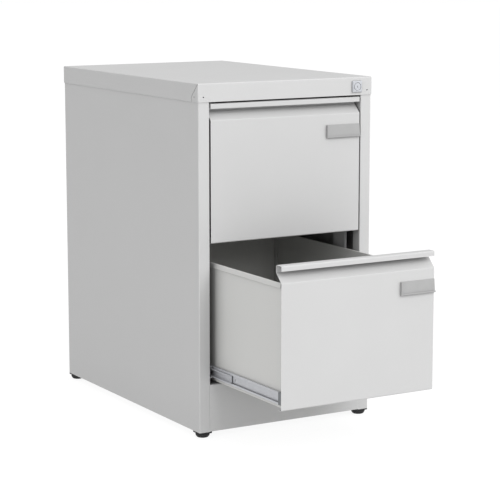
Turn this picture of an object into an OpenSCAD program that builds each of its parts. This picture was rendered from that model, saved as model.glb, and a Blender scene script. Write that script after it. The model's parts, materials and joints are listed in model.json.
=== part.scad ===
// Two-drawer steel filing cabinet, folded from thin sheet. Each drawer runs on a pair of
// telescopic ball runners, a cam lock moves one locking bar, and four levelling feet carry it.
// Millimetres, +Z up, drawer fronts towards -Y. The origin is on the floor, under the middle
// of the whole object as it stands with its lower drawer part open.

/* [Cabinet] */
// Width over the lid
lid_w = 420; // [414:1:440]
// Depth over the lid
lid_d = 640; // [630:1:680]
// Height of the lid's folded lip
lid_lip = 38; // [36:1:45]
// How far the lid stands out beyond the body on every side
overhang = 1.5; // [1.5:0.1:2.5]
// Thickness of the steel sheet
gauge = 1; // [0.8:0.1:1.2]
// Centre-line radius of an ordinary fold
bend_r = 1.6; // [1.2:0.1:2]
// Width of the front stile on each side of the opening
stile_w = 25.5; // [25:0.1:27]

/* [Base] */
// Height of the plinth panel
plinth_h = 100; // [80:1:120]
// Height of the body's lower edge above the floor
clearance_h = 12; // [12:1:16]
// Largest diameter of a foot
foot_d = 30; // [26:1:32]
// Distance of a foot's axis from the lid's outline
foot_inset = 16.5; // [15.5:0.1:17.5]

/* [Drawers] */
// Width of a drawer front
front_w = 360; // [356:0.5:360]
// Height of a drawer front with its grip rail
front_h = 285.5; // [270:0.5:300]
// Gap between one drawer front and the next
front_gap = 5; // [4:0.5:6]
// Gap above the top drawer and below the bottom one
end_gap = 3.5; // [3.5:0.1:5]
// Depth from a drawer's front face to its back
drawer_d = 600; // [580:1:605]
// How far the lower drawer stands open
rest_open = 275; // [100:1:450]
// Height of the flat face below the grip rail
face_h = 251; // [236:1:256]
// Depth of the grip rail's hollow
grip_d = 20; // [18:0.5:22]
// Height of the grip rail's turned-down lip
grip_lip = 10.5; // [9:0.5:13]

/* [Label holder] */
// Width of the label holder
label_w = 83; // [60:1:100]
// Height of the label holder
label_h = 27; // [22:1:32]
// Distance of the holder's top below the top of the flat face
label_drop = 22; // [15:1:40]
// How far the holder's lower lip stands out
label_proud = 5.6; // [5:0.1:7]

/* [Runners] */
// Height of a runner's channels
runner_h = 25; // [24:0.5:27]
// Thickness of a runner, from the drawer wall to the cabinet upright
runner_t = 12.7; // [12.7:0.1:13.5]
// Height of the runner's middle above the drawer front's lower edge
runner_z = 21; // [20:0.5:40]
// Thickness of the runner's steel
runner_gauge = 1.2; // [1:0.1:1.2]
// Diameter of the runner's balls
ball_d = 3.1; // [3:0.05:3.1]

/* [Lock] */
// Distance of the lock's axis from the right edge of the lid
lock_inset = 39; // [38:0.5:41]
// Distance of the lock's axis below the top of the lid
lock_drop = 20; // [19:0.5:21]
// Side of the lock's square head
lock_head = 24; // [22:0.5:26]
// Lift of the locking bar between locked and unlocked
lock_lift = 12; // [10:0.5:13]

/* [Hidden] */
// Node names, and the one that is drawn

// Smoothness of round parts, and the number of flats in one fold
$fn = 48;
fold_steps = 6;
// Overlap that makes a cut come out cleanly, and the smallest gap between loose parts
eps = 0.5;
slack = 0.1;

// Heights of the drawers, the lid and the body
lower_z = clearance_h + plinth_h + end_gap;
upper_z = lower_z + front_h + front_gap;
lip_z = upper_z + front_h + end_gap;
cabinet_h = lip_z + lid_lip;
body_top = cabinet_h - 2 * gauge;

// Outline of the body inside the lid
half_w = lid_w / 2 - overhang;
front_y = overhang;
back_y = lid_d - overhang;
opening = half_w - stile_w;
stile_return = 24;
back_flange = 20;
base_flange = 15;

// Lid: radius of its rounded edges, and where its corner tabs are cut
lid_r = 2.5;
tab_w = 27;
seam = 1.2;
rivet_d = 3.4;
rivet_drop = 28;
rivet_edge = 12.5;

// The drawer walls leave room for a runner between them and the uprights
wall_x = half_w - 28.2 - runner_t;
upright_x = wall_x + runner_t;
upright_w = 48;
upright_front_y = 53;
upright_rear_y = 540;
weld_flange = 10;

// Sheet parts of a drawer
hem_h = 10;
hem_step = 1.4;
hem_lean = 1.4;
wall_h = face_h - 2.5;
floor_z = 1.2;
liner_y = 20.5;
wall_flange = 16;

// Runner parts, measured from the drawer wall outwards and from the drawer front backwards
channel_d = 5.6;
rim_h = 3.9;
ball_gap = 0.05;
ball_u = 2.8;
beam_h = runner_h - 2 * runner_gauge - 2 * ball_d - 4 * ball_gap;
beam_side = 1.7;
drawer_rail_y = 22;
middle_rail_y = 70;
middle_rail_l = 450;
fixed_rail_y = 8;
cage_l = 200;
cage_pitch = 40;
outer_cage_y = 150;
inner_cage_y = 250;
rail_rivet_ys = [278, 540];
rail_slot_y = 197;

// How much of the drawer's travel the middle rails and the two sets of cages make
middle_ratio = 1 / 2;
outer_cage_ratio = 1 / 4;
inner_cage_ratio = 3 / 4;

// Lock: axis, barrel, cam and locking bar
lock_x = lid_w / 2 - lock_inset;
lock_z = cabinet_h - lock_drop;
head_t = 4.5;
barrel_d = 18;
plug_d = 14;
plug_cap_d = 15.6;
ring_w = 1;
head_chamfer = 1.6;
cam_y = 26;
cam_r = lock_lift / (2 * sin(45));
cam_pin_d = 4;
bar_y = 30;
bar_t = 2;
bar_x = [opening + 4, opening + 20];
tab_h = 10;
catch_z = 200;
catch_h = 13;
catch_t = 2.5;
catch_gap = 1.5;

// Feet
stem_d = 8;
plate_t = 3;
plate_w = 30;
bracket_h = 3;
nut_h = 10;

// Puts the middle of the whole object, lower drawer open, at y = 0
origin_y = (rest_open + label_proud - front_y - lid_d) / 2;

// ---- Folded sheet ----

function unit(v) = v / norm(v);
function left_of(v) = [-v[1], v[0]];
function turned(v, a) = [v[0] * cos(a) - v[1] * sin(a), v[0] * sin(a) + v[1] * cos(a)];
function reversed(list) = [for (i = [len(list) - 1:-1:0]) list[i]];

// Signed angle from direction u to direction v
function turn_angle(u, v) = atan2(u[0] * v[1] - u[1] * v[0], u * v);

// Points and side directions along the fold of radius r at corner b, between a and c
function fold_at(a, b, c, r) =
    let (u = unit(b - a), angle = turn_angle(u, unit(c - b)), side = sign(angle),
         start = b - r * tan(abs(angle) / 2) * u, centre = start + side * r * left_of(u))
    [for (k = [0:fold_steps])
        let (n = turned(left_of(u), angle * k / fold_steps)) [centre - side * r * n, n]];

// Points and side directions along a whole centre line, with a fold at each inner corner
function centre_line(path, r) =
    let (last = len(path) - 1)
    [for (i = [0:last])
        each (i == 0 ? [[path[0], left_of(unit(path[1] - path[0]))]]
            : i == last ? [[path[last], left_of(unit(path[last] - path[last - 1]))]]
            : fold_at(path[i - 1], path[i], path[i + 1], r))];

// Section of a sheet of thickness t folded along the path
module folded(path, r = bend_r, t = gauge) {
    line = centre_line(path, r);
    polygon(concat([for (p = line) p[0] + t / 2 * p[1]],
                   reversed([for (p = line) p[0] - t / 2 * p[1]])));
}

// Quarter arc from angle a to a + 90 about a centre
function quarter(c, r, a) =
    [for (k = [0:fold_steps]) c + r * [cos(a + 90 * k / fold_steps), sin(a + 90 * k / fold_steps)]];

// Rectangle whose upper corners, or all four corners, are rounded
module round_top(x0, x1, y0, y1, r) {
    polygon(concat([[x0, y0], [x1, y0]], quarter([x1 - r, y1 - r], r, 0),
                   quarter([x0 + r, y1 - r], r, 90)));
}
module round_rect(x0, x1, y0, y1, r) {
    polygon(concat(quarter([x1 - r, y1 - r], r, 0), quarter([x0 + r, y1 - r], r, 90),
                   quarter([x0 + r, y0 + r], r, 180), quarter([x1 - r, y0 + r], r, 270)));
}

// ---- Placing ----

// Section in (y, z), extruded along X between two places
module along_x(x0, x1) {
    translate([x0, 0, 0]) rotate([90, 0, 90]) linear_extrude(x1 - x0) children();
}

// Section in (x, z), extruded along Y between two places
module along_y(y0, y1) {
    translate([0, y1, 0]) rotate([90, 0, 0]) linear_extrude(y1 - y0) children();
}

// Section in (x, y), extruded along Z between two heights
module along_z(z0, z1) {
    translate([0, 0, z0]) linear_extrude(z1 - z0) children();
}

// A rod along X or along Y
module rod_x(x0, x1, y, z, d) {
    translate([x0, y, z]) rotate([0, 90, 0]) cylinder(d = d, h = x1 - x0);
}
module rod_y(x, y0, y1, z, d) {
    translate([x, y0, z]) rotate([-90, 0, 0]) cylinder(d = d, h = y1 - y0);
}

// A block between two corners
module block(low, high) {
    translate(low) cube(high - low);
}

// The cabinet's own frame has y = 0 at the front of the lid
module in_cabinet() {
    translate([0, origin_y, 0]) children();
}

// A drawer's own frame has y = 0 at its front face and z = 0 at its lower edge
module in_upper() {
    translate([0, origin_y + front_y, upper_z]) children();
}
module in_lower(ratio = 1) {
    translate([0, origin_y + front_y - ratio * rest_open, lower_z]) children();
}

// The right-hand one of a pair is the left-hand one mirrored
module to_right() {
    mirror([1, 0, 0]) children();
}
module both_sides() {
    children();
    to_right() children();
}

// ---- Carcass ----

module side_sheet() {
    x = -half_w + gauge / 2;
    stile_x = -opening - gauge / 2;
    y0 = front_y + gauge / 2;
    y1 = back_y - gauge / 2;
    difference() {
        union() {
            along_z(clearance_h, body_top)
                folded([[stile_x, y0 + stile_return], [stile_x, y0], [x, y0], [x, y1],
                        [x + back_flange, y1]]);
            along_y(front_y + stile_return, back_y - 2 * gauge)
                folded([[x, clearance_h + base_flange], [x, clearance_h + gauge / 2],
                        [x + base_flange, clearance_h + gauge / 2]]);
        }
        at_feet(front = true, rear = true) foot_clearance();
        rivet_holes();
    }
}

module side_panel_left() { color("#d6d6d6") in_cabinet() side_sheet(); }
module side_panel_right() { color("#d6d6d6") in_cabinet() to_right() side_sheet(); }

module back_panel() {
    x = half_w - 3.5;
    y = back_y - 1.5 * gauge;
    color("#cfcfcf") in_cabinet()
        along_z(clearance_h + gauge + bracket_h + eps, body_top)
            folded([[-x, y - base_flange], [-x, y], [x, y], [x, y - base_flange]]);
}

// Outer or inner form of the lid, inset by a wall thickness
module lid_form(inset, z0) {
    r = lid_r - inset;
    x = lid_w / 2 - inset;
    top = cabinet_h - inset;
    intersection() {
        along_y(inset, lid_d - inset) round_top(-x, x, z0, top, r);
        along_x(-x, x) round_top(inset, lid_d - inset, z0, top, r);
        along_z(z0, top) round_rect(-x, x, inset, lid_d - inset, r);
    }
}

// Open seam round the front lip's tab, on the left side of the lid
module tab_seam() {
    top = cabinet_h - overhang;
    along_x(-lid_w / 2 - eps, -lid_w / 2 + gauge + eps)
        folded([[overhang, top], [tab_w, top - tab_w + overhang], [tab_w, lip_z - eps]], t = seam);
}

module lid() {
    color("#dadada") in_cabinet() difference() {
        lid_form(0, lip_z);
        lid_form(gauge, lip_z - eps);
        both_sides() tab_seam();
        both_sides() rivet_holes();
        rod_y(lock_x, -eps, gauge + eps, lock_z, barrel_d + 2 * slack);
    }
}

// One blind rivet in the front of the lid and one in its side, at the left corner
module rivet_axes(from, to, d) {
    z = cabinet_h - rivet_drop;
    rod_y(-lid_w / 2 + rivet_edge, from, to, z, d);
    rod_x(-lid_w / 2 + from, -lid_w / 2 + to, foot_inset, z, d);
}
module rivet_holes() { rivet_axes(-eps, 2 * overhang + eps, rivet_d + 2 * slack); }

module lid_rivets() {
    sunk = 0.3;
    mandrel_d = 2.6;
    color("#9a9a9a") in_cabinet() both_sides() difference() {
        rivet_axes(sunk, 2 * overhang + gauge, rivet_d);
        rivet_axes(-eps, 2 * overhang, mandrel_d);
    }
}

module header_rail() {
    y = front_y + gauge / 2;
    z0 = lip_z + 2 + gauge / 2;
    z1 = body_top - gauge / 2;
    color("#cfcfcf") in_cabinet() difference() {
        along_x(-opening + slack, opening - slack)
            folded([[y + stile_return, z0], [y, z0], [y, z1], [y + stile_return, z1]]);
        rod_y(lock_x, 0, y + eps + gauge, lock_z, barrel_d + 2 * slack);
    }
}

// Room that the left stile's rounded inner fold needs
module stile_room() {
    along_z(0, lip_z)
        round_rect(-half_w, -opening + slack, front_y - slack, front_y + 2 * stile_return,
                   bend_r + gauge / 2 + slack);
}

module plinth_panel() {
    y = front_y + gauge / 2;
    z0 = clearance_h + gauge / 2;
    z1 = clearance_h + plinth_h - gauge / 2;
    lap = 0.9;
    color("#d2d2d2") in_cabinet() difference() {
        along_x(-opening - lap, opening + lap)
            folded([[y + base_flange, z0], [y, z0], [y, z1], [y + stile_return, z1]]);
        both_sides() stile_room();
    }
}

module base_pan() {
    x = half_w - 2 * gauge;
    y0 = front_y + stile_return + 3;
    y1 = upright_rear_y + upright_w + base_flange;
    z = clearance_h + 1.5 * gauge;
    color("#c8c8c8") in_cabinet() along_x(-x, x)
        folded([[y0, z + stile_return], [y0, z], [y1, z], [y1, z + stile_return]]);
}

// Upright on the left side: a short lip in front, a web towards the drawers, and a weld flange
module upright(y) {
    x0 = -half_w + 1.5 * gauge;
    x1 = -upright_x - gauge / 2;
    y0 = y + gauge / 2;
    y1 = y + upright_w - gauge / 2;
    lip = 4;
    along_z(clearance_h + 2 * gauge, lip_z)
        folded([[x1 - lip, y0], [x1, y0], [x1, y1], [x0, y1], [x0, y1 + weld_flange]]);
}

module upright_front_left() { color("#bdbdbd") in_cabinet() upright(upright_front_y); }
module upright_front_right() { color("#bdbdbd") in_cabinet() to_right() upright(upright_front_y); }
module upright_rear_left() { color("#bdbdbd") in_cabinet() upright(upright_rear_y); }
module upright_rear_right() { color("#bdbdbd") in_cabinet() to_right() upright(upright_rear_y); }

// ---- Feet ----

// Children at the left-hand feet, at the height where the body starts
module at_feet(front, rear) {
    x = -lid_w / 2 + foot_inset;
    if (front) translate([x, foot_inset, clearance_h]) children();
    if (rear) translate([x, lid_d - foot_inset, clearance_h]) children();
}

module foot_clearance() {
    translate([0, 0, -eps]) cylinder(d = stem_d + 3, h = gauge + 2 * eps);
}

// Nut plate that carries a foot's stem, above the body's bottom fold
module foot_bracket() {
    side = foot_inset - overhang - 2 * gauge;
    difference() {
        union() {
            block([-side, -side, gauge], [9, 9, gauge + bracket_h]);
            translate([0, 0, gauge]) cylinder(d = 2 * stem_d, h = bracket_h + nut_h);
        }
        cylinder(d = stem_d + slack, h = gauge + bracket_h + nut_h + eps);
    }
}
module foot_brackets() {
    color("#8c8f92") in_cabinet() both_sides() {
        at_feet(front = true, rear = false) foot_bracket();
        at_feet(front = false, rear = true) mirror([0, 1, 0]) foot_bracket();
    }
}

// Plastic plate under a corner of the body
module corner_plate() {
    low = overhang - foot_inset;
    difference() {
        along_z(-plate_t, 0) round_rect(low, low + plate_w, low, low + plate_w, 2);
        translate([0, 0, -plate_t - eps]) cylinder(d = stem_d + 1, h = plate_t + 2 * eps);
    }
}
module corner_plates() {
    color("#1c1c1e") in_cabinet() both_sides() {
        at_feet(front = true, rear = false) corner_plate();
        at_feet(front = false, rear = true) mirror([0, 1, 0]) corner_plate();
    }
}

// Levelling foot: a round pad with a tapered lower edge, on a stem
module foot() {
    pad_h = clearance_h - plate_t - 0.5;
    r = foot_d / 2;
    translate([0, 0, -clearance_h]) {
        rotate_extrude()
            polygon([[0, 0], [r - 5, 0], [r - 3.4, 0.6], [r - 1.3, 3], [r, 6], [r, pad_h - 0.8],
                     [r - 0.8, pad_h], [0, pad_h]]);
        translate([0, 0, pad_h - eps]) cylinder(d = stem_d, h = nut_h + plate_t + 4);
    }
}
module foot_front_left() { color("#202022") in_cabinet() at_feet(front = true, rear = false) foot(); }
module foot_front_right() {
    color("#202022") in_cabinet() to_right() at_feet(front = true, rear = false) foot();
}
module foot_rear_left() { color("#202022") in_cabinet() at_feet(front = false, rear = true) foot(); }
module foot_rear_right() {
    color("#202022") in_cabinet() to_right() at_feet(front = false, rear = true) foot();
}

// ---- Lock ----

// Square head of the lock about its axis, with its front edges chamfered
module lock_head_form() {
    half = lock_head / 2;
    c = head_chamfer;
    profile = [[0, -half], [c - head_t, -half], [-head_t, c - half],
               [-head_t, half - c], [c - head_t, half], [0, half]];
    intersection() {
        along_y(-head_t, 0) round_rect(-half, half, -half, half, 1.5);
        along_x(-half, half) polygon(profile);
        along_z(-half, half) polygon([for (p = profile) [p[1], p[0]]]);
    }
}

module lock_housing() {
    cap_depth = 1.2;
    color("#b9bdc2") in_cabinet() difference() {
        union() {
            translate([lock_x, 0, lock_z]) lock_head_form();
            rod_y(lock_x, -eps, cam_y - 2, lock_z, barrel_d);
        }
        rod_y(lock_x, -head_t - eps, -head_t + cap_depth, lock_z, plug_cap_d + 2 * ring_w);
        rod_y(lock_x, -head_t, cam_y, lock_z, plug_d + slack);
    }
}

module lock_nut() {
    y = front_y + gauge;
    across_corners = 23.5;
    color("#8c8f92") in_cabinet() difference() {
        translate([lock_x, y, lock_z]) rotate([-90, 0, 0])
            cylinder(d = across_corners, h = 5, $fn = 6);
        rod_y(lock_x, 0, y + 6, lock_z, barrel_d + slack);
    }
}

module lock_plug() {
    key_w = 0.8;
    key_h = 4.5;
    key_depth = 14;
    color("#c9ccd1") in_cabinet() difference() {
        union() {
            rod_y(lock_x, -head_t + 0.1, -head_t + 1.1, lock_z, plug_cap_d);
            rod_y(lock_x, -head_t + 0.6, cam_y - 0.4, lock_z, plug_d);
            rod_y(lock_x, cam_y - 1, cam_y + bar_t + 0.5, lock_z, stem_d);
        }
        block([lock_x - key_w / 2, -head_t - eps, lock_z - key_h / 2],
              [lock_x + key_w / 2, -head_t + key_depth, lock_z + key_h / 2]);
    }
}

// Centre of the cam's pin with the lock open
cam_pin_x = lock_x + cam_r * cos(45);
cam_pin_z = lock_z + cam_r * sin(45);

module lock_cam() {
    end_d = 7.5;
    color("#a8abb0") in_cabinet() {
        along_y(cam_y, cam_y + bar_t) difference() {
            union() {
                translate([lock_x, lock_z]) circle(d = 13);
                translate([cam_pin_x, cam_pin_z]) circle(d = end_d);
            }
            translate([lock_x, lock_z]) circle(d = stem_d + slack);
        }
        rod_y(cam_pin_x, cam_y + bar_t / 2, bar_y + bar_t + 1.5, cam_pin_z, cam_pin_d);
    }
}

// Height of a drawer's catch, and of the bar's tab that waits above it
function catch_top(drawer_z) = drawer_z + catch_z + catch_h;
function tab_low(drawer_z) = catch_top(drawer_z) + 3;

// Flat locking bar: a head with a slot for the cam's pin, a strip, and a tab for each drawer
module lock_bar() {
    head_z = [cam_pin_z - 9, cam_pin_z + 7];
    head_x = cam_pin_x - 6;
    tab_x = wall_x + 4.5;
    slot_x = [cam_pin_x - cam_pin_d / 2 - 0.5, lock_x + cam_r + cam_pin_d / 2 + 0.5];
    slot_z = cam_pin_d / 2 + 0.3;
    color("#a9acb0") in_cabinet() difference() {
        union() {
            block([bar_x[0], bar_y, lower_z + catch_z - 10], [bar_x[1], bar_y + bar_t, head_z[1]]);
            block([head_x, bar_y, head_z[0]], [bar_x[1], bar_y + bar_t, head_z[1]]);
            for (z = [lower_z, upper_z])
                block([tab_x, bar_y, tab_low(z)], [bar_x[1], bar_y + bar_t, tab_low(z) + tab_h]);
        }
        block([slot_x[0], bar_y - eps, cam_pin_z - slot_z],
              [slot_x[1], bar_y + bar_t + eps, cam_pin_z + slot_z]);
    }
}

module lock_bar_guides() {
    gap = 0.4;
    color("#2a2a2c") in_cabinet() for (z = [lower_z + 180, upper_z - 40, upper_z + 170])
        difference() {
            block([bar_x[1] - 4, bar_y - 3, z], [half_w - gauge, bar_y + bar_t + 3, z + 18]);
            block([bar_x[0], bar_y - gap, z - eps],
                  [bar_x[1] + gap, bar_y + bar_t + gap, z + 18 + eps]);
        }
}

// ---- Runners ----

// Channel of a runner with inturned rims, web at u = 0, on the left of a drawer wall
module channel(u0, direction) {
    web = runner_gauge / 2;
    edge = channel_d - runner_gauge / 2;
    v = runner_h / 2 - runner_gauge / 2;
    tip = runner_h / 2 - rim_h;
    translate([-wall_x - u0, runner_z]) mirror([direction > 0 ? 1 : 0, 0])
        folded([[edge, tip], [edge, v], [web, v], [web, -v], [edge, -v], [edge, -tip]],
               r = runner_gauge * 2 / 3, t = runner_gauge);
}

// Oblong hole along Y through the web of a channel on the left of the drawer
module web_slot(y, l, d) {
    for (end = [-1, 1]) rod_x(-upright_x - 1, -wall_x + 1, y + end * (l - d) / 2, runner_z, d);
    block([-upright_x - 1, y - (l - d) / 2, runner_z - d / 2],
          [-wall_x + 1, y + (l - d) / 2, runner_z + d / 2]);
}

module fixed_rail() {
    color("#b4b7bb") difference() {
        along_y(fixed_rail_y, drawer_d) channel(runner_t, -1);
        for (y = [upright_front_y, upright_rear_y]) web_slot(y + upright_w / 2 - front_y, 9, 5);
    }
}
module drawer_rail() {
    color("#b4b7bb") difference() {
        along_y(drawer_rail_y, drawer_d) channel(0, 1);
        rod_x(-wall_x - 3, -wall_x + 1, rail_slot_y, runner_z, 4);
        rail_rivet_holes();
    }
}

// Beam that slides between the two channels, its web beside the drawer rail's
module middle_rail() {
    u0 = -upright_x + beam_side;
    u1 = -wall_x - beam_side;
    web = -wall_x - runner_gauge - 1.6;
    h = beam_h / 2;
    color("#adb0b5") along_y(middle_rail_y, middle_rail_y + middle_rail_l) union() {
        for (z = [runner_z - h, runner_z + h - runner_gauge])
            translate([u0, z]) square([u1 - u0, runner_gauge]);
        translate([web - runner_gauge, runner_z - h]) square([runner_gauge, beam_h]);
    }
}

// Strips that space the balls above and below the beam, u from the drawer wall
module ball_cages(y, u) {
    strip_w = 2.4;
    v = runner_h / 2 - runner_gauge - ball_gap - ball_d / 2;
    color("#c8b070") for (z = [runner_z - v, runner_z + v]) {
        block([-wall_x - u - strip_w / 2, y, z - gauge / 2],
              [-wall_x - u + strip_w / 2, y + cage_l, z + gauge / 2]);
        for (at = [cage_pitch / 2:cage_pitch:cage_l])
            translate([-wall_x - u, y + at, z]) sphere(d = ball_d, $fn = 24);
    }
}
module outer_cages() { both_sides() ball_cages(outer_cage_y, runner_t - ball_u); }
module inner_cages() { both_sides() ball_cages(inner_cage_y, ball_u); }

module upper_fixed_rail_left() { in_upper() fixed_rail(); }
module upper_fixed_rail_right() { in_upper() to_right() fixed_rail(); }
module lower_fixed_rail_left() { in_lower(0) fixed_rail(); }
module lower_fixed_rail_right() { in_lower(0) to_right() fixed_rail(); }
module upper_middle_rails() { in_upper() both_sides() middle_rail(); }
module lower_middle_rails() { in_lower(middle_ratio) both_sides() middle_rail(); }
module upper_outer_ball_cages() { in_upper() outer_cages(); }
module upper_inner_ball_cages() { in_upper() inner_cages(); }
module lower_outer_ball_cages() { in_lower(outer_cage_ratio) outer_cages(); }
module lower_inner_ball_cages() { in_lower(inner_cage_ratio) inner_cages(); }

// ---- Drawer ----

// Front panel: bottom fold, flat face, slope back, and the grip rail rolled over to the face
module drawer_front() {
    y = gauge / 2;
    back = grip_d;
    top = front_h - gauge / 2;
    slope_r = 2.4;
    color("#dcdcdc") along_x(-front_w / 2, front_w / 2)
        folded([[y + 12, y], [y, y], [y, face_h], [back, face_h + back - y], [back, top], [y, top],
                [y, front_h - grip_lip]], r = slope_r);
}

// Inner panel that closes the drawer box behind the front
module front_liner() {
    z0 = 3;
    z1 = face_h - 3.5;
    y = liner_y - gauge / 2;
    color("#cdcdca") along_x(-wall_x + 1.2, wall_x - 1.2)
        folded([[gauge, z0], [y, z0], [y, z1], [gauge, z1]]);
}

// Left wall: inward bottom flange, wall, and a hem rolled outwards at the top
module drawer_side() {
    x = -wall_x + gauge / 2;
    z0 = floor_z + gauge / 2;
    z1 = wall_h - gauge / 2;
    color("#c8c8c4") difference() {
        along_y(liner_y, drawer_d)
            folded([[x + wall_flange, z0], [x, z0], [x, z1], [x - hem_step, z1],
                    [x - hem_step - hem_lean, wall_h - hem_h]], r = 0.6);
        rail_rivet_holes();
    }
}

module drawer_bottom() {
    x = wall_x - gauge - 1.2;
    z = floor_z + 1.5 * gauge;
    lip = 11;
    color("#c4c4c0") along_x(-x, x)
        folded([[liner_y + gauge / 2, z + lip], [liner_y + gauge / 2, z],
                [drawer_d - 2.5 * gauge, z], [drawer_d - 2.5 * gauge, z + lip]]);
}

module drawer_back() {
    x = wall_x - 1.5 * gauge;
    y = drawer_d - gauge / 2;
    color("#c4c4c0") along_z(floor_z + 2.4 * gauge, wall_h - hem_h)
        folded([[-x, y - base_flange], [-x, y], [x, y], [x, y - base_flange]]);
}

// Label holder at the right-hand end: a leaning plate, a lower lip and a left end wall
module label_holder() {
    t = 0.8;
    x0 = front_w / 2 - label_w;
    z1 = face_h - label_drop;
    z0 = z1 - label_h + t / 2;
    foot_y = -label_proud + t / 2;
    plate_y = foot_y + 2;
    color("#b9b9b9") {
        along_x(x0, front_w / 2)
            folded([[-t / 2 - 0.1, z1], [plate_y, z0], [foot_y, z0], [foot_y, z0 + 3]],
                   r = 0.7, t = t);
        block([x0, -label_proud, z0 - t / 2], [x0 + t, 0, z1]);
        block([x0, -t / 2, z1 - 2], [front_w / 2, 0, z1]);
    }
}

module rail_rivet_holes() {
    for (y = rail_rivet_ys) rod_x(-wall_x - 3, -wall_x + 2, y, runner_z, rivet_d + 2 * slack);
}

module rail_rivets() {
    head_d = 6;
    head_h = 0.9;
    color("#d8dade") for (y = rail_rivet_ys) {
        rod_x(-wall_x - runner_gauge - head_h, -wall_x - runner_gauge, y, runner_z, head_d);
        rod_x(-wall_x - runner_gauge - head_h / 2, -wall_x + gauge + 0.3, y, runner_z, rivet_d);
    }
}

// Buffer between the front and the end of each drawer rail
module rail_buffer() {
    color("#77797b") block([-wall_x - channel_d - 0.8, gauge + slack, runner_z - runner_h / 2],
                           [-wall_x, drawer_rail_y - slack, runner_z + runner_h / 2]);
}

// Bracket on the right-hand wall that the locking bar's tab blocks
module lock_catch() {
    y = bar_y + bar_t + catch_gap - front_y;
    reach = 11.5;
    color("#a9acb0") union() {
        block([wall_x, y - 1, catch_z], [wall_x + 1.5, y + 20, catch_z + catch_h]);
        block([wall_x, y, catch_z], [wall_x + reach, y + catch_t, catch_z + catch_h]);
    }
}

module upper_front() { in_upper() drawer_front(); }
module upper_front_liner() { in_upper() front_liner(); }
module upper_side_left() { in_upper() drawer_side(); }
module upper_side_right() { in_upper() to_right() drawer_side(); }
module upper_bottom() { in_upper() drawer_bottom(); }
module upper_back() { in_upper() drawer_back(); }
module upper_label_holder() { in_upper() label_holder(); }
module upper_drawer_rail_left() { in_upper() drawer_rail(); }
module upper_drawer_rail_right() { in_upper() to_right() drawer_rail(); }
module upper_rail_buffers() { in_upper() both_sides() rail_buffer(); }
module upper_rail_rivets() { in_upper() both_sides() rail_rivets(); }
module upper_lock_catch() { in_upper() lock_catch(); }

module lower_front() { in_lower() drawer_front(); }
module lower_front_liner() { in_lower() front_liner(); }
module lower_side_left() { in_lower() drawer_side(); }
module lower_side_right() { in_lower() to_right() drawer_side(); }
module lower_bottom() { in_lower() drawer_bottom(); }
module lower_back() { in_lower() drawer_back(); }
module lower_label_holder() { in_lower() label_holder(); }
module lower_drawer_rail_left() { in_lower() drawer_rail(); }
module lower_drawer_rail_right() { in_lower() to_right() drawer_rail(); }
module lower_rail_buffers() { in_lower() both_sides() rail_buffer(); }
module lower_rail_rivets() { in_lower() both_sides() rail_rivets(); }
module lower_lock_catch() { in_lower() lock_catch(); }

side_panel_left();
side_panel_right();
back_panel();
lid();
lid_rivets();
header_rail();
plinth_panel();
base_pan();
upright_front_left();
upright_front_right();
upright_rear_left();
upright_rear_right();
foot_brackets();
corner_plates();
foot_front_left();
foot_front_right();
foot_rear_left();
foot_rear_right();
lock_housing();
lock_nut();
lock_plug();
lock_cam();
lock_bar();
lock_bar_guides();
upper_fixed_rail_left();
upper_fixed_rail_right();
lower_fixed_rail_left();
lower_fixed_rail_right();
upper_middle_rails();
lower_middle_rails();
upper_outer_ball_cages();
upper_inner_ball_cages();
lower_outer_ball_cages();
lower_inner_ball_cages();
upper_front();
upper_front_liner();
upper_side_left();
upper_side_right();
upper_bottom();
upper_back();
upper_label_holder();
upper_drawer_rail_left();
upper_drawer_rail_right();
upper_rail_buffers();
upper_rail_rivets();
upper_lock_catch();
lower_front();
lower_front_liner();
lower_side_left();
lower_side_right();
lower_bottom();
lower_back();
lower_label_holder();
lower_drawer_rail_left();
lower_drawer_rail_right();
lower_rail_buffers();
lower_rail_rivets();
lower_lock_catch();
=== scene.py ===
"""Two-drawer steel filing cabinet: its materials, light and camera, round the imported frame.

Metres, in the frame's own axes: +Z up, drawer fronts towards -Y.
"""
import json
import math

import bmesh
import bpy
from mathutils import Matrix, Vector


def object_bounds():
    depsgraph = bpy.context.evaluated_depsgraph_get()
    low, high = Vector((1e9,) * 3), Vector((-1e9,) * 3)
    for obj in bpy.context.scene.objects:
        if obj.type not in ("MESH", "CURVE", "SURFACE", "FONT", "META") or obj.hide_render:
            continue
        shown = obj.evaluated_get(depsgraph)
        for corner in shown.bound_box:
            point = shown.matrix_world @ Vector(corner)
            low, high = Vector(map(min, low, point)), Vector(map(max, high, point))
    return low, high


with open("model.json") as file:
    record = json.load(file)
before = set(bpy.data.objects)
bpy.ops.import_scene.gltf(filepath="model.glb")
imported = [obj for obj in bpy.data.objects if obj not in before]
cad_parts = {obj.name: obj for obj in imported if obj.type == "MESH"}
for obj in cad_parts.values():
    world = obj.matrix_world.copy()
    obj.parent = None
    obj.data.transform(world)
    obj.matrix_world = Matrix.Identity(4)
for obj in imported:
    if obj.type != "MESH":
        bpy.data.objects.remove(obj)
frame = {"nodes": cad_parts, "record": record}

MM = 0.001
WHITE = (1, 1, 1, 1)
BLACK = (0, 0, 0, 1)
cad_low, cad_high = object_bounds()
centre = (cad_low + cad_high) / 2


# ---- Shader helper ----

# Where most values of one noise lie, and of two added together
MIDDLE = (0.3, 0.7)
MIDDLE_OF_TWO = (0.7, 1.3)
# How far a normal agrees with the one that a small rounding would give, on a flat and on an edge
FLAT_MATCH, EDGE_MATCH = 0.999, 0.93
EDGE_SAMPLES = 4
HOLLOW_SAMPLES = 5


def shade(colour, share):
    """The colour made lighter or darker by a share."""
    return [c * share for c in colour] + [1.0]


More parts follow.
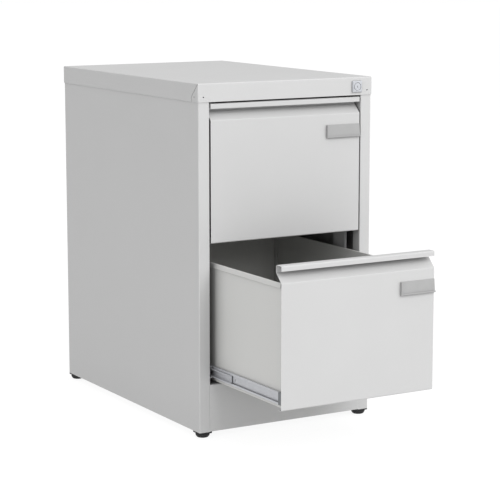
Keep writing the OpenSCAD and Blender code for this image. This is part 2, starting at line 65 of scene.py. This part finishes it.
class Shader:
    """A new material, with short calls that add nodes to it."""

    def __init__(self, name, **settings):
        self.material = bpy.data.materials.new(name)
        self.material.use_nodes = True
        self.tree = self.material.node_tree
        self.surface = self.tree.nodes["Principled BSDF"]
        for socket, value in settings.items():
            self.surface.inputs[socket.replace("_", " ")].default_value = value
        self.place = self.add("ShaderNodeTexCoord").outputs["Object"]

    def add(self, kind, **settings):
        node = self.tree.nodes.new(kind)
        for key, value in settings.items():
            setattr(node, key, value)
        return node

    def put(self, socket, value):
        """Joins a socket to another one, or gives it a plain value."""
        if isinstance(value, bpy.types.NodeSocket):
            self.tree.links.new(value, socket)
        else:
            socket.default_value = value

    def noise(self, size, detail, stretch=(1, 1, 1), shift=0.0):
        """Noise from 0 to 1 whose cells are about size metres, longer where stretch is above 1.

        Noises of one material take different shifts, so that they don't follow each other.
        """
        mapping = self.add("ShaderNodeMapping")
        self.put(mapping.inputs["Vector"], self.place)
        self.put(mapping.inputs["Location"], (shift, shift, shift))
        self.put(mapping.inputs["Scale"], [1 / (size * s) for s in stretch])
        noise = self.add("ShaderNodeTexNoise")
        self.put(noise.inputs["Vector"], mapping.outputs["Vector"])
        self.put(noise.inputs["Scale"], 1.0)
        self.put(noise.inputs["Detail"], detail)
        return noise.outputs["Fac"]

    def spread(self, value, low, high, to_low, to_high):
        """Maps value from low..high to to_low..to_high, and clamps it there."""
        node = self.add("ShaderNodeMapRange")
        for socket, number in zip(node.inputs, (value, low, high, to_low, to_high)):
            self.put(socket, number)
        return node.outputs["Result"]

    def math(self, operation, a, b):
        node = self.add("ShaderNodeMath", operation=operation)
        self.put(node.inputs[0], a)
        self.put(node.inputs[1], b)
        return node.outputs["Value"]

    def mix(self, factor, a, b):
        """Colour a where factor is 0, b where it is 1."""
        node = self.add("ShaderNodeMix", data_type="RGBA")
        self.put(node.inputs["Factor"], factor)
        self.put(node.inputs["A"], a)
        self.put(node.inputs["B"], b)
        return node.outputs["Result"]

    def bump(self, height, distance, strength):
        """Normal of a surface that rises by distance where height is 1."""
        node = self.add("ShaderNodeBump")
        self.put(node.inputs["Height"], height)
        self.put(node.inputs["Distance"], distance)
        self.put(node.inputs["Strength"], strength)
        return node.outputs["Normal"]

    def edges(self, radius):
        """1 along folds and cut edges, 0 away from them."""
        rounded = self.add("ShaderNodeBevel", samples=EDGE_SAMPLES)
        self.put(rounded.inputs["Radius"], radius)
        dot = self.add("ShaderNodeVectorMath", operation="DOT_PRODUCT")
        self.put(dot.inputs[0], rounded.outputs["Normal"])
        self.put(dot.inputs[1], self.add("ShaderNodeNewGeometry").outputs["Normal"])
        return self.spread(dot.outputs["Value"], FLAT_MATCH, EDGE_MATCH, 0.0, 1.0)

    def crevices(self, reach, open_share, shut_share):
        """1 deep in slits, 0 in the open: the mask for painted shade. A share is how much of the sky
        over a point is clear.
        """
        node = self.add("ShaderNodeAmbientOcclusion", samples=HOLLOW_SAMPLES)
        self.put(node.inputs["Distance"], reach)
        return self.spread(node.outputs["AO"], open_share, shut_share, 0.0, 1.0)

    def varied(self, colour, noise, darker, lighter):
        """The colour varied by a noise, from one share of itself to another."""
        share = self.spread(noise, *MIDDLE, 0.0, 1.0)
        return self.mix(share, shade(colour, darker), shade(colour, lighter))

    def on_edges(self, colour, edge, strength, bright):
        """The colour turned to a bright one where edge is 1, with that strength."""
        return self.mix(self.math("MULTIPLY", edge, strength), colour, bright)

    def with_painted_shade(self, colour, dark, *hollows):
        """The colour turned to a dark one in hollows as painted shade, for one size of hollow after
        another.
        """
        for reach, open_share, shut_share, strength in hollows:
            depth = self.math("MULTIPLY", self.crevices(reach, open_share, shut_share), strength)
            colour = self.mix(depth, colour, dark)
        return colour

    def uneven_roughness(self, fine, broad, low, high):
        """Roughness from low to high, varied by two noises together."""
        return self.spread(self.math("ADD", fine, broad), *MIDDLE_OF_TWO, low, high)

    def finish(self, colour, roughness, normal):
        """Gives the surface its three inputs, and returns the material."""
        self.put(self.surface.inputs["Base Color"], colour)
        self.put(self.surface.inputs["Roughness"], roughness)
        self.put(self.surface.inputs["Normal"], normal)
        return self.material


# ---- Materials ----

# Hollows in which a finish gets painted shade: reach, share of sky in the open and when shut, and
# strength
SLIT = (5 * MM, 0.5, 0.2, 0.8)
UNDER_LIP = (45 * MM, 0.97, 0.55, 0.17)
RECESS = (110 * MM, 0.85, 0.25, 0.4)
INSIDE = (450 * MM, 0.55, 0.0, 0.5)
BESIDE_RAIL = (60 * MM, 0.7, 0.2, 0.4)
RAIL_SEAM = (4 * MM, 0.35, 0.1, 0.25)
LOCK_SEAM = (3 * MM, 0.75, 0.3, 0.85)
# Share of its own colour that a finish keeps where the painted shade in a hollow is deepest
HOLLOW_SHADE = 0.3


def powder_coat(name, colour, grain=1.0, recess=RECESS):
    """Fine-textured powder coat on steel: orange peel, specks and faint clouding.

    The coat is lighter and smoother along edges, partly from wear and partly as a painted highlight, and
    has painted shade in hollows.
    """
    s = Shader(name, IOR=1.5, Specular_IOR_Level=0.5)
    peel = s.noise(size=1.4 * MM, detail=2.0)
    speck = s.noise(size=0.8 * MM, detail=1.0, shift=3.0)
    cloud = s.noise(size=110 * MM, detail=2.0, shift=7.0)
    edge = s.edges(radius=1.8 * MM)
    clouded = s.varied(colour, cloud, darker=0.99, lighter=1.01)
    specked = s.mix(s.spread(speck, 0.35, 0.65, 0.0, 0.5), clouded, shade(colour, 0.965))
    # Lighter along edges: partly worn paint, partly a painted highlight on the folds
    rubbed_and_highlit = s.on_edges(specked, edge, strength=0.8, bright=shade(colour, 1.22))
    # Painted shade in slits, in recesses or under lips, and deep inside the body and drawers
    shaded = s.with_painted_shade(rubbed_and_highlit, shade(colour, HOLLOW_SHADE), SLIT, recess, INSIDE)
    rough = s.uneven_roughness(peel, cloud, low=0.46, high=0.56)
    smoother_edges = s.math("SUBTRACT", rough, s.math("MULTIPLY", edge, 0.1))
    bumpy = s.bump(peel, distance=0.008 * MM * grain, strength=0.6)
    return s.finish(shaded, smoother_edges, bumpy)


def plated(name, colour, roughness, run=(1, 1, 1), seam=RAIL_SEAM):
    """Plated steel, with drawing marks along the direction in which run is longest."""
    s = Shader(name, Metallic=0.6, Specular_IOR_Level=0.5)
    marks = s.noise(size=0.5 * MM, detail=2.0, stretch=run)
    bloom = s.noise(size=14 * MM, detail=3.0, shift=5.0)
    edge = s.edges(radius=0.8 * MM)
    toned = s.varied(colour, bloom, darker=0.95, lighter=1.04)
    drawn = s.mix(s.spread(marks, *MIDDLE, 0.0, 0.3), toned, shade(colour, 0.86))
    worn = s.on_edges(drawn, edge, strength=0.5, bright=shade(colour, 1.2))
    # Painted shade in seams and holes, and in hollows round the rails
    hollow_shaded = s.with_painted_shade(worn, shade(colour, HOLLOW_SHADE), seam, BESIDE_RAIL)
    rough = s.uneven_roughness(marks, bloom, low=roughness - 0.06, high=roughness + 0.08)
    return s.finish(hollow_shaded, rough, s.bump(marks, distance=0.012 * MM, strength=0.5))


def moulded(name, colour, roughness):
    """Moulded plastic with a fine spark-eroded grain and edges worn lighter."""
    s = Shader(name, IOR=1.48, Specular_IOR_Level=0.5)
    eroded = s.noise(size=0.8 * MM, detail=4.0)
    flow = s.noise(size=18 * MM, detail=2.0, shift=2.0)
    edge = s.edges(radius=0.8 * MM)
    toned = s.varied(colour, flow, darker=0.975, lighter=1.025)
    worn = s.on_edges(toned, edge, strength=0.3, bright=shade(colour, 1.35))
    rough = s.uneven_roughness(eroded, flow, low=roughness - 0.05, high=roughness + 0.1)
    return s.finish(worn, rough, s.bump(eroded, distance=0.012 * MM, strength=0.5))


# Drawing marks are 40 times as long as they are wide
ALONG_RAIL = (1, 40, 1)
# The finish of each material slot, and what is its own about it
SURFACES = {
    "cabinet_paint": (powder_coat, dict(colour=(0.60, 0.60, 0.60))),
    # The fronts take the body's paint a little darker, a painted shade that tones them down
    "front_paint": (powder_coat, dict(colour=(0.59, 0.59, 0.59), recess=UNDER_LIP)),
    "drawer_paint": (powder_coat, dict(colour=(0.68, 0.68, 0.665), grain=0.8, recess=UNDER_LIP)),
    "inner_paint": (powder_coat, dict(colour=(0.70, 0.70, 0.71), grain=0.8)),
    "runner_zinc": (plated, dict(colour=(0.70, 0.71, 0.74), roughness=0.45, run=ALONG_RAIL)),
    "fastener_steel": (plated, dict(colour=(0.42, 0.43, 0.44), roughness=0.42)),
    "ball_cage": (plated, dict(colour=(0.55, 0.48, 0.33), roughness=0.4, run=ALONG_RAIL)),
    "lock_metal": (plated, dict(colour=(0.60, 0.615, 0.65), roughness=0.36, seam=LOCK_SEAM)),
    "holder_plastic": (moulded, dict(colour=(0.385, 0.385, 0.385), roughness=0.46)),
    "buffer_plastic": (moulded, dict(colour=(0.20, 0.21, 0.22), roughness=0.5)),
    "foot_plastic": (moulded, dict(colour=(0.018, 0.018, 0.019), roughness=0.5)),
}


# ---- CAD nodes ----

# Faces that meet at less than the fold angle shade as one, and at less than the flat angle become one
FOLD_ANGLE = math.radians(35)
FLAT_ANGLE = math.radians(0.2)
WELD_DISTANCE = 0.005 * MM
# Width of the rounding on cut edges: by material slot, and on everything else
EDGE_WIDTH = {"foot_plastic": 0.4 * MM, "buffer_plastic": 0.6 * MM, "lock_metal": 0.4 * MM}
SHEET_EDGE_WIDTH = 0.22 * MM


def geometry_group(name, build):
    """A geometry node group whose one output build(tree, input socket) returns."""
    tree = bpy.data.node_groups.new(name, "GeometryNodeTree")
    tree.interface.new_socket("Geometry", in_out="INPUT", socket_type="NodeSocketGeometry")
    tree.interface.new_socket("Geometry", in_out="OUTPUT", socket_type="NodeSocketGeometry")
    start = tree.nodes.new("NodeGroupInput")
    end = tree.nodes.new("NodeGroupOutput")
    tree.links.new(build(tree, start.outputs[0]), end.inputs[0])
    return tree


def welded(tree, mesh):
    """Joins the vertices that lie on each other and drops the imported normals."""
    plain = tree.nodes.new("GeometryNodeRemoveAttribute")
    plain.inputs["Name"].default_value = "custom_normal"
    tree.links.new(mesh, plain.inputs["Geometry"])
    merge = tree.nodes.new("GeometryNodeMergeByDistance")
    merge.inputs["Distance"].default_value = WELD_DISTANCE
    tree.links.new(plain.outputs["Geometry"], merge.inputs["Geometry"])
    return merge.outputs["Geometry"]


def smoothed(tree, mesh):
    """Smooth across folds and bores, sharp where faces meet at more than the fold angle."""
    faces = tree.nodes.new("GeometryNodeSetShadeSmooth")
    faces.inputs["Shade Smooth"].default_value = True
    tree.links.new(mesh, faces.inputs["Geometry"])
    angle = tree.nodes.new("GeometryNodeInputMeshEdgeAngle")
    sharp = tree.nodes.new("FunctionNodeCompare")
    sharp.inputs[1].default_value = FOLD_ANGLE
    tree.links.new(angle.outputs["Unsigned Angle"], sharp.inputs[0])
    edges = tree.nodes.new("GeometryNodeSetShadeSmooth")
    edges.domain = "EDGE"
    edges.inputs["Shade Smooth"].default_value = False
    tree.links.new(faces.outputs["Geometry"], edges.inputs["Geometry"])
    tree.links.new(sharp.outputs["Result"], edges.inputs["Selection"])
    return edges.outputs["Geometry"]


WELD = geometry_group("weld", welded)
SMOOTH = geometry_group("smooth_by_angle", smoothed)


def finish_edges(node, width):
    """Rounds a CAD node's cut edges a little, and smooths its folds."""
    node.modifiers.new("weld", "NODES").node_group = WELD
    flat = node.modifiers.new("flat", "DECIMATE")
    flat.decimate_type = "DISSOLVE"
    flat.angle_limit = FLAT_ANGLE
    bevel = node.modifiers.new("edge", "BEVEL")
    bevel.width = width
    bevel.segments = 2
    bevel.limit_method = "ANGLE"
    bevel.angle_limit = FOLD_ANGLE
    bevel.use_clamp_overlap = True
    node.modifiers.new("smooth", "NODES").node_group = SMOOTH
    weighted = node.modifiers.new("normals", "WEIGHTED_NORMAL")
    weighted.keep_sharp = True


materials = {slot: make(slot, **look) for slot, (make, look) in SURFACES.items()}
for part in frame["record"]["subparts"]:
    node, slot = frame["nodes"][part["node"]], part["material_slot"]
    node.data.materials.clear()
    node.data.materials.append(materials[slot])
    finish_edges(node, EDGE_WIDTH.get(slot, SHEET_EDGE_WIDTH))


# ---- Floor, light and camera ----

# Both lie within the 60 m or so at which every view is cut off, and the floor ends outside the backdrop
BACKDROP_RADIUS = 30
FLOOR_HALF = 35


def floor_sheet(name, height, tone, glow):
    """A wide floor plane whose grey is about tone, and which glows evenly."""
    half = FLOOR_HALF
    mesh = bpy.data.meshes.new(name)
    corners = [(-half, -half, 0), (half, -half, 0), (half, half, 0), (-half, half, 0)]
    mesh.from_pydata(corners, [], [(0, 1, 2, 3)])
    sheet = bpy.data.objects.new(name, mesh)
    sheet.location.z = height
    bpy.context.scene.collection.objects.link(sheet)
    s = Shader(name, Roughness=1.0, Specular_IOR_Level=0.0, Emission_Strength=glow)
    s.surface.inputs["Emission Color"].default_value = WHITE
    grey = (tone, tone, tone)
    patches = s.noise(size=0.8, detail=2.0)
    s.put(s.surface.inputs["Base Color"], s.mix(patches, shade(grey, 0.97), shade(grey, 1.03)))
    mesh.materials.append(s.material)
    return sheet


def for_camera_only(thing):
    """Leaves a thing visible to the camera and to nothing else."""
    thing.visible_diffuse = thing.visible_glossy = thing.visible_transmission = False
    thing.visible_volume_scatter = thing.visible_shadow = False


def make_floor():
    """A white sheet that is seen, and a greyer one under it that throws light back at the object.

    The lower sheet casts no shadow, so that it doesn't count as a wall of the hollows that get painted
    shade.
    """
    for_camera_only(floor_sheet("floor", height=-0.2 * MM, tone=0.15, glow=0.9))
    bounce = floor_sheet("floor_bounce", height=-0.4 * MM, tone=0.4, glow=0.36)
    bounce.visible_camera = bounce.visible_shadow = False


def make_backdrop():
    """A white shell far outside everything, only seen and throwing no light."""
    mesh = bpy.data.meshes.new("backdrop")
    shape = bmesh.new()
    bmesh.ops.create_uvsphere(shape, u_segments=48, v_segments=24, radius=BACKDROP_RADIUS)
    shape.to_mesh(mesh)
    shape.free()
    shell = bpy.data.objects.new("backdrop", mesh)
    bpy.context.scene.collection.objects.link(shell)
    s = Shader("backdrop", Roughness=1.0, Specular_IOR_Level=0.0, Emission_Strength=1.0)
    s.surface.inputs["Base Color"].default_value = BLACK
    s.surface.inputs["Emission Color"].default_value = WHITE
    mesh.materials.append(s.material)
    for_camera_only(shell)


def make_world(horizon, sky, full_height):
    """A soft studio dome, with one strength at the horizon that rises to another.

    The rise ends at full_height, which is the sine of an elevation.
    """
    world = bpy.data.worlds.new("studio")
    world.use_nodes = True
    bpy.context.scene.world = world
    tree = world.node_tree
    place = tree.nodes.new("ShaderNodeTexCoord")
    split = tree.nodes.new("ShaderNodeSeparateXYZ")
    height = tree.nodes.new("ShaderNodeMapRange")
    height.inputs["From Max"].default_value = full_height
    height.inputs["To Min"].default_value = horizon
    height.inputs["To Max"].default_value = sky
    tree.links.new(place.outputs["Generated"], split.inputs["Vector"])
    tree.links.new(split.outputs["Z"], height.inputs["Value"])
    tree.links.new(height.outputs["Result"], tree.nodes["Background"].inputs["Strength"])
    tree.nodes["Background"].inputs["Color"].default_value = WHITE


def toward(azimuth, elevation):
    """Direction to something that far round from the front (-Y), towards +X, and that far up."""
    a, e = math.radians(azimuth), math.radians(elevation)
    return Vector((math.sin(a) * math.cos(e), -math.cos(a) * math.cos(e), math.sin(e)))


def point_from(thing, target, azimuth, elevation, distance):
    """Puts a lamp or camera that far from a target, on that side of it, and turns it to the target."""
    back = toward(azimuth, elevation)
    thing.location = target + back * distance
    thing.rotation_euler = (-back).to_track_quat("-Z", "Y").to_euler()
    bpy.context.scene.collection.objects.link(thing)


def softbox(name, azimuth, elevation, distance, size, power):
    light = bpy.data.lights.new(name, "AREA")
    light.size = size
    light.energy = power
    lamp = bpy.data.objects.new(name, light)
    lamp.visible_camera = False
    point_from(lamp, centre, azimuth, elevation, distance)


def make_camera(lens, sensor_width, azimuth, elevation, distance, off_centre):
    """A camera that looks at a point a little off the object's centre."""
    camera = bpy.data.cameras.new("camera")
    camera.lens = lens
    camera.sensor_width = sensor_width
    eye = bpy.data.objects.new("camera", camera)
    point_from(eye, centre + Vector(off_centre), azimuth, elevation, distance)
    bpy.context.scene.camera = eye


make_floor()
make_backdrop()
make_world(horizon=0.0, sky=0.84, full_height=0.35)
# A broad key light above the fronts, a weak one on the left side and a weak low one on the fronts
softbox("key", azimuth=12, elevation=34, distance=9, size=6, power=410)
softbox("fill", azimuth=-70, elevation=8, distance=9, size=4, power=78)
softbox("low_key", azimuth=40, elevation=8, distance=9, size=4, power=60)
# A long lens from the front left, a little above the lid
make_camera(
    lens=131.2, sensor_width=36, azimuth=-30.46, elevation=9.41, distance=3.959,
    off_centre=(11.5 * MM, -9.4 * MM, -13.3 * MM),
)
bpy.context.scene.view_settings.view_transform = "Standard"
